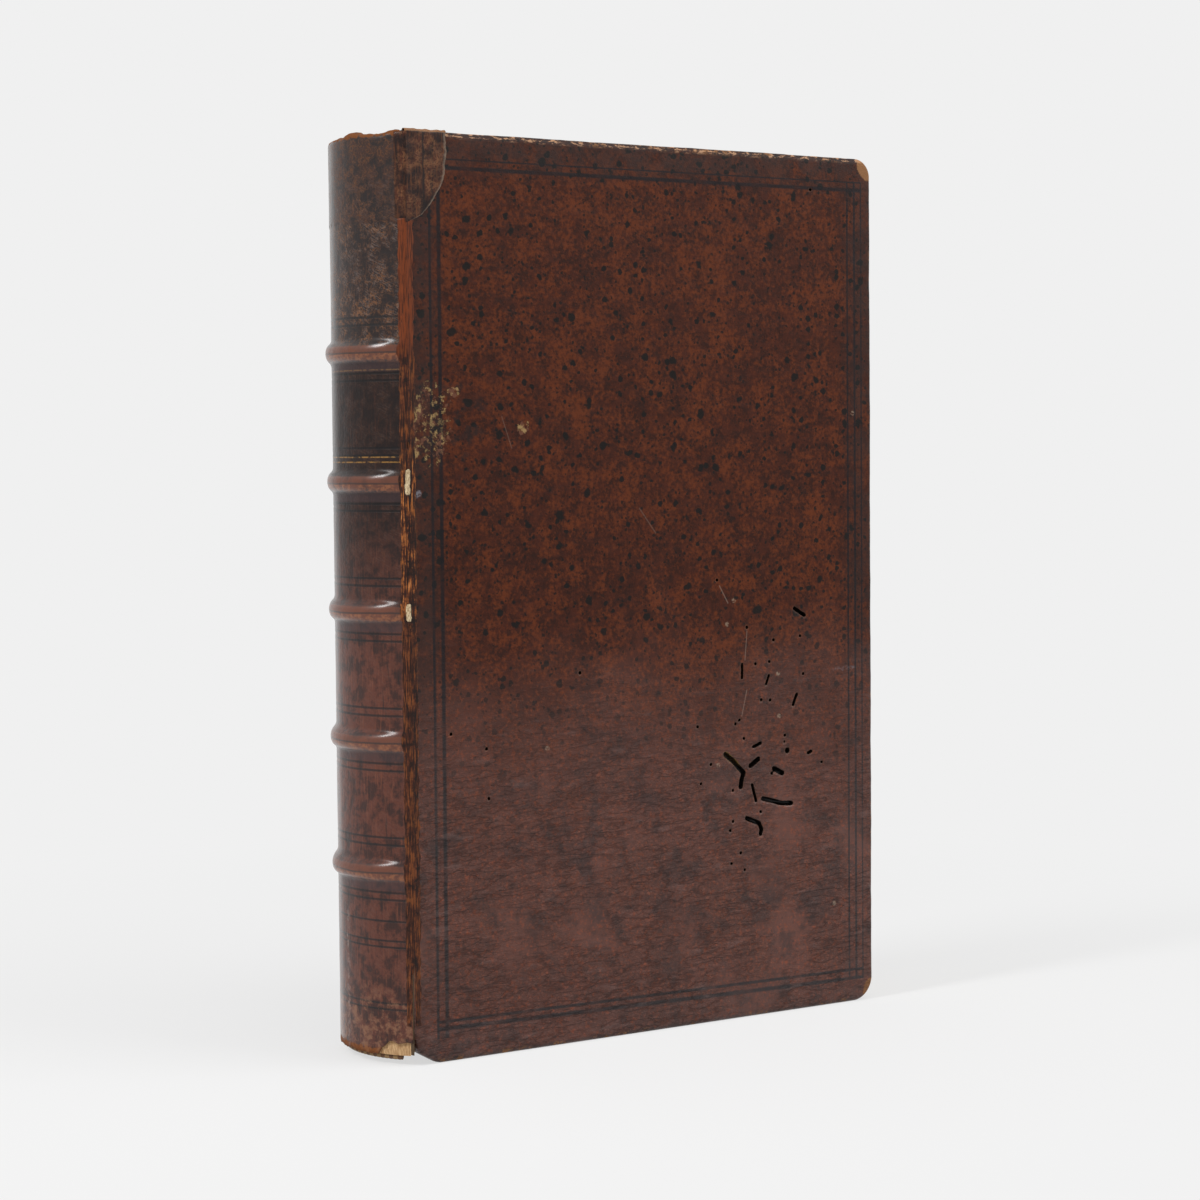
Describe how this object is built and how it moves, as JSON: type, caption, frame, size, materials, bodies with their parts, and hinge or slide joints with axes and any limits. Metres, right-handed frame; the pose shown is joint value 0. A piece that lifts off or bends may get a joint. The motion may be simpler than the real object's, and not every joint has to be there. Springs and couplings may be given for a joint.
{
  "type": "antique leather book",
  "caption": "Upright antique book in worn brown calf: rounded spine with raised bands, two hinged covers, wormed front board.",
  "frame": {"origin": "centre of the book's footprint, on the surface that the tail edges stand on", "axes": "+Z from tail to head, +X from the spine towards the fore-edge, front cover towards -Y"},
  "size_m": [0.2172, 0.0503, 0.3206],
  "materials": {
    "sprinkled_calf": "dark reddish-brown calf with black sprinkles, waxed to a low sheen",
    "spine_calf": "darkened calf, rubbed to orange-brown on the bands and joints",
    "later_calf": "crackled dark calf with pale cracks",
    "leaves": "rag paper leaves, browned and dusty at the edges",
    "endpaper": "plain laid paper with light browning",
    "lining_paper": "glued paper strips, straw coloured",
    "pasteboard": "rough grey-brown pasteboard",
    "hemp_cord": "twisted hemp cord, cream",
    "sewn_endband": "thread sewn over a cord core, faded"
  },
  "bodies": {
    "book_block": {"text_block": "leaves", "front_flyleaf": "endpaper", "back_flyleaf": "endpaper", "sewing_cord_1": "hemp_cord", "sewing_cord_2": "hemp_cord", "sewing_cord_3": "hemp_cord", "sewing_cord_4": "hemp_cord", "sewing_cord_5": "hemp_cord", "spine_linings": "lining_paper", "headband": "sewn_endband", "tailband": "sewn_endband", "spine_leather": "spine_calf"},
    "front_cover": {"front_board": "pasteboard", "front_cover_leather": "sprinkled_calf", "front_cord_slips": "hemp_cord", "front_pastedown": "endpaper", "head_lap": "later_calf"},
    "back_cover": {"back_board": "pasteboard", "back_cover_leather": "sprinkled_calf", "back_cord_slips": "hemp_cord", "back_pastedown": "endpaper"}
  },
  "joints": [
    {"name": "front_cover_joint", "type": "hinge", "parent": "book_block", "child": "front_cover", "pos_m": [-0.0954, -0.02515, 0.16], "axis": [0, 0, -1], "range_deg": [0, 180]},
    {"name": "back_cover_joint", "type": "hinge", "parent": "book_block", "child": "back_cover", "pos_m": [-0.0954, 0.02515, 0.16], "axis": [0, 0, 1], "range_deg": [0, 180]}
  ]
}
